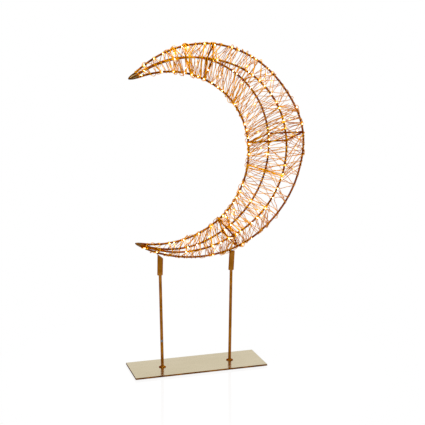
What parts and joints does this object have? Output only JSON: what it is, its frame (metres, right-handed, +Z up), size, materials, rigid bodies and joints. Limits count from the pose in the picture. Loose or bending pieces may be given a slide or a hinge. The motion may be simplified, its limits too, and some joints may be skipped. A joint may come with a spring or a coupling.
{
  "type": "light-up crescent moon",
  "caption": "Crescent moon of bent and welded wire, wound with a string of tiny lights, lifting off two posts that stand on a flat base plate",
  "frame": {"origin": "centre of the underside, on the surface that the object stands on", "axes": "+Z up, +X to the right as seen from the front, -Y to the front; the crescent opens towards -X and lies in the XZ plane"},
  "size_m": [0.3355, 0.0964, 0.5943],
  "materials": {
    "plate": "brushed along its length, pale gold",
    "stand_rod": "satin bronze-gold lacquer",
    "frame_wire": "satin dark gold lacquer",
    "string_wire": "bare copper-coloured enamelled wire",
    "light_bead": "clear drops lit warm white from inside",
    "screw": "plated steel",
    "foot_pad": "matt black foam sheet"
  },
  "bodies": {
    "stand": {"base_pad": "foot_pad", "base_plate": "plate", "left_post": "stand_rod", "left_post_collar": "stand_rod", "left_base_screw": "screw", "right_post": "stand_rod", "right_post_collar": "stand_rod", "right_base_screw": "screw"},
    "moon": {"left_sleeve": "stand_rod", "left_sleeve_plug": "stand_rod", "right_sleeve": "stand_rod", "right_sleeve_plug": "stand_rod", "outer_rim": "frame_wire", "inner_rim": "frame_wire", "front_rib": "frame_wire", "rear_rib": "frame_wire", "upper_front_outer_brace": "frame_wire", "upper_front_inner_brace": "frame_wire", "upper_rear_outer_brace": "frame_wire", "upper_rear_inner_brace": "frame_wire", "middle_front_outer_brace": "frame_wire", "middle_front_inner_brace": "frame_wire", "middle_rear_outer_brace": "frame_wire", "middle_rear_inner_brace": "frame_wire", "lower_front_outer_brace": "frame_wire", "lower_front_inner_brace": "frame_wire", "lower_rear_outer_brace": "frame_wire", "lower_rear_inner_brace": "frame_wire", "upper_tip_cap": "frame_wire", "lower_tip_cap": "frame_wire", "light_string": "string_wire", "light_bead_01": "light_bead", "light_bead_02": "light_bead", "light_bead_03": "light_bead", "light_bead_04": "light_bead", "light_bead_05": "light_bead", "light_bead_06": "light_bead", "light_bead_07": "light_bead", "light_bead_08": "light_bead", "light_bead_09": "light_bead", "light_bead_10": "light_bead", "light_bead_11": "light_bead", "light_bead_12": "light_bead", "light_bead_13": "light_bead", "light_bead_14": "light_bead", "light_bead_15": "light_bead", "light_bead_16": "light_bead", "light_bead_17": "light_bead", "light_bead_18": "light_bead", "light_bead_19": "light_bead", "light_bead_20": "light_bead", "light_bead_21": "light_bead", "light_bead_22": "light_bead", "light_bead_23": "light_bead", "light_bead_24": "light_bead"}
  },
  "joints": [
    {"name": "moon_lift", "type": "slide", "parent": "stand", "child": "moon", "axis": [0, 0, 1], "range_m": [0, 0.03]}
  ]
}
